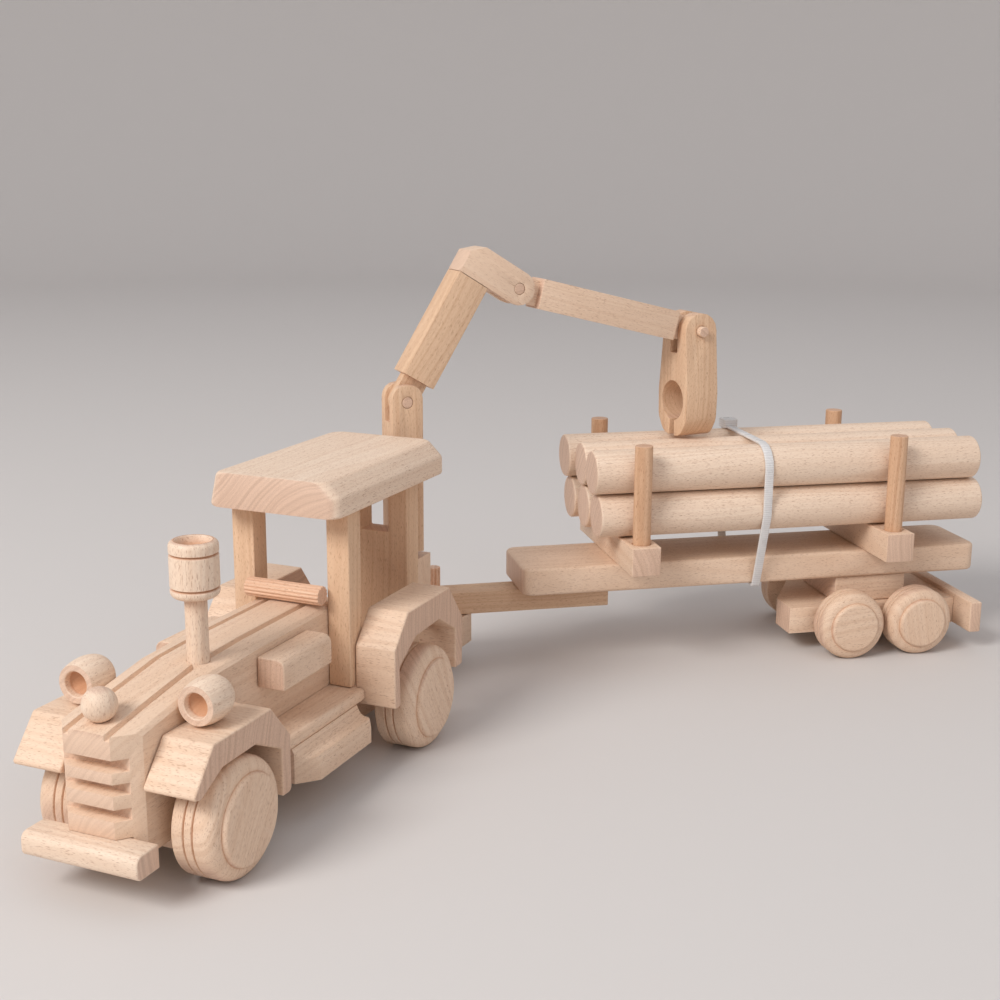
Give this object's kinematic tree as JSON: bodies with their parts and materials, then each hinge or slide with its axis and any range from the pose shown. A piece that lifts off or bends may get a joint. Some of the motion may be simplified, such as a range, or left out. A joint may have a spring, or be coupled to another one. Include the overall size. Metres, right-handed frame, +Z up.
{
  "type": "toy tractor",
  "caption": "Wooden toy tractor with an open cab, a jointed loading crane behind the cab and a log trailer on a drawbar, loaded with strapped round logs.",
  "frame": {"origin": "on the ground, under the middle of the whole toy's bounding box at rest", "axes": "+Z up, -Y the way the tractor drives, +X the tractor's left side"},
  "size_m": [0.344, 0.5456, 0.2403],
  "materials": {
    "beech": "sanded, unpainted",
    "beech_pale": "sanded, unpainted",
    "beech_warm": "sanded, unpainted",
    "dowel": "raw dowel",
    "nylon": "translucent, glossy"
  },
  "bodies": {
    "tractor": {"hood_block": "beech", "radiator_ball": "beech_pale", "exhaust_stack": "beech_pale", "headlamp_left": "beech_pale", "headlamp_right": "beech_pale", "front_fender_left": "beech", "front_fender_right": "beech", "rear_fender_left": "beech", "rear_fender_right": "beech", "front_bumper": "beech_pale", "chassis_beam": "beech", "floor_board": "beech", "step_board": "beech", "side_tank_left": "beech", "side_tank_right": "beech", "cab_post_left": "beech_warm", "cab_post_right": "beech_warm", "cab_rear_wall": "beech_warm", "cab_roof": "beech_pale", "dashboard_bar": "dowel", "crane_pedestal": "beech", "hitch_pin": "dowel"},
    "front_wheelset": {"front_axle": "dowel", "front_wheel_left": "beech", "front_wheel_right": "beech"},
    "rear_wheelset": {"rear_axle": "dowel", "rear_wheel_left": "beech", "rear_wheel_right": "beech"},
    "crane": {"crane_mast": "beech_warm", "mast_pin": "dowel"},
    "lower_boom": {"lower_boom": "beech_warm"},
    "elbow_head": {"elbow_head": "beech", "elbow_pin": "dowel"},
    "upper_boom": {"upper_boom": "beech", "grapple_pin": "dowel"},
    "grapple": {"grapple": "beech_warm"},
    "trailer": {"trailer_drawbar": "beech_warm", "trailer_bed": "beech", "bolster_front": "beech", "bolster_rear": "beech", "stake_front_near": "dowel", "stake_front_far": "dowel", "stake_rear_near": "dowel", "stake_rear_far": "dowel", "bogie_pedestal": "beech", "bogie_beam": "beech", "trailer_bumper": "beech", "log_lower_near": "beech", "log_lower_middle": "beech", "log_lower_far": "beech", "log_upper_near": "beech", "log_upper_middle": "beech", "log_upper_far": "beech", "cable_tie": "nylon"},
    "bogie_front_wheelset": {"bogie_axle_front": "dowel", "bogie_wheel_front_near": "beech", "bogie_wheel_front_far": "beech"},
    "bogie_rear_wheelset": {"bogie_axle_rear": "dowel", "bogie_wheel_rear_near": "beech", "bogie_wheel_rear_far": "beech"}
  },
  "joints": [
    {"name": "front_axle_spin", "type": "hinge", "parent": "tractor", "child": "front_wheelset", "pos_m": [-0.11719, -0.2237, 0.02578], "axis": [1, 0, 0], "continuous": true},
    {"name": "rear_axle_spin", "type": "hinge", "parent": "tractor", "child": "rear_wheelset", "pos_m": [-0.11719, -0.0692, 0.02578], "axis": [1, 0, 0], "continuous": true},
    {"name": "crane_slew", "type": "hinge", "parent": "tractor", "child": "crane", "pos_m": [-0.11719, 0.0065, 0.075], "axis": [0, 0, 1], "continuous": true},
    {"name": "boom_lift", "type": "hinge", "parent": "crane", "child": "lower_boom", "pos_m": [-0.11719, 0.0065, 0.1597], "axis": [0.7466, -0.6652, 0], "range_deg": [0, 35]},
    {"name": "boom_swivel", "type": "hinge", "parent": "lower_boom", "child": "elbow_head", "pos_m": [-0.09155, 0.03528, 0.22334], "axis": [0.3446, 0.3868, 0.8554], "range_deg": [-90, 90]},
    {"name": "elbow", "type": "hinge", "parent": "elbow_head", "child": "upper_boom", "pos_m": [-0.07359, 0.05544, 0.21774], "axis": [0.7466, -0.6652, 0], "range_deg": [0, 75]},
    {"name": "grapple_swing", "type": "hinge", "parent": "upper_boom", "child": "grapple", "pos_m": [0.00213, 0.14042, 0.18978], "axis": [0.7466, -0.6652, 0], "range_deg": [-15, 60]},
    {"name": "hitch_yaw", "type": "hinge", "parent": "tractor", "child": "trailer", "pos_m": [-0.11719, 0.0432, 0.0368], "axis": [0, 0, 1], "range_deg": [-36, 143]},
    {"name": "bogie_front_spin", "type": "hinge", "parent": "trailer", "child": "bogie_front_wheelset", "pos_m": [0.07769, 0.18583, 0.01995], "axis": [0.5906, -0.807, 0], "continuous": true},
    {"name": "bogie_rear_spin", "type": "hinge", "parent": "trailer", "child": "bogie_rear_wheelset", "pos_m": [0.11231, 0.21117, 0.01995], "axis": [0.5906, -0.807, 0], "continuous": true}
  ]
}
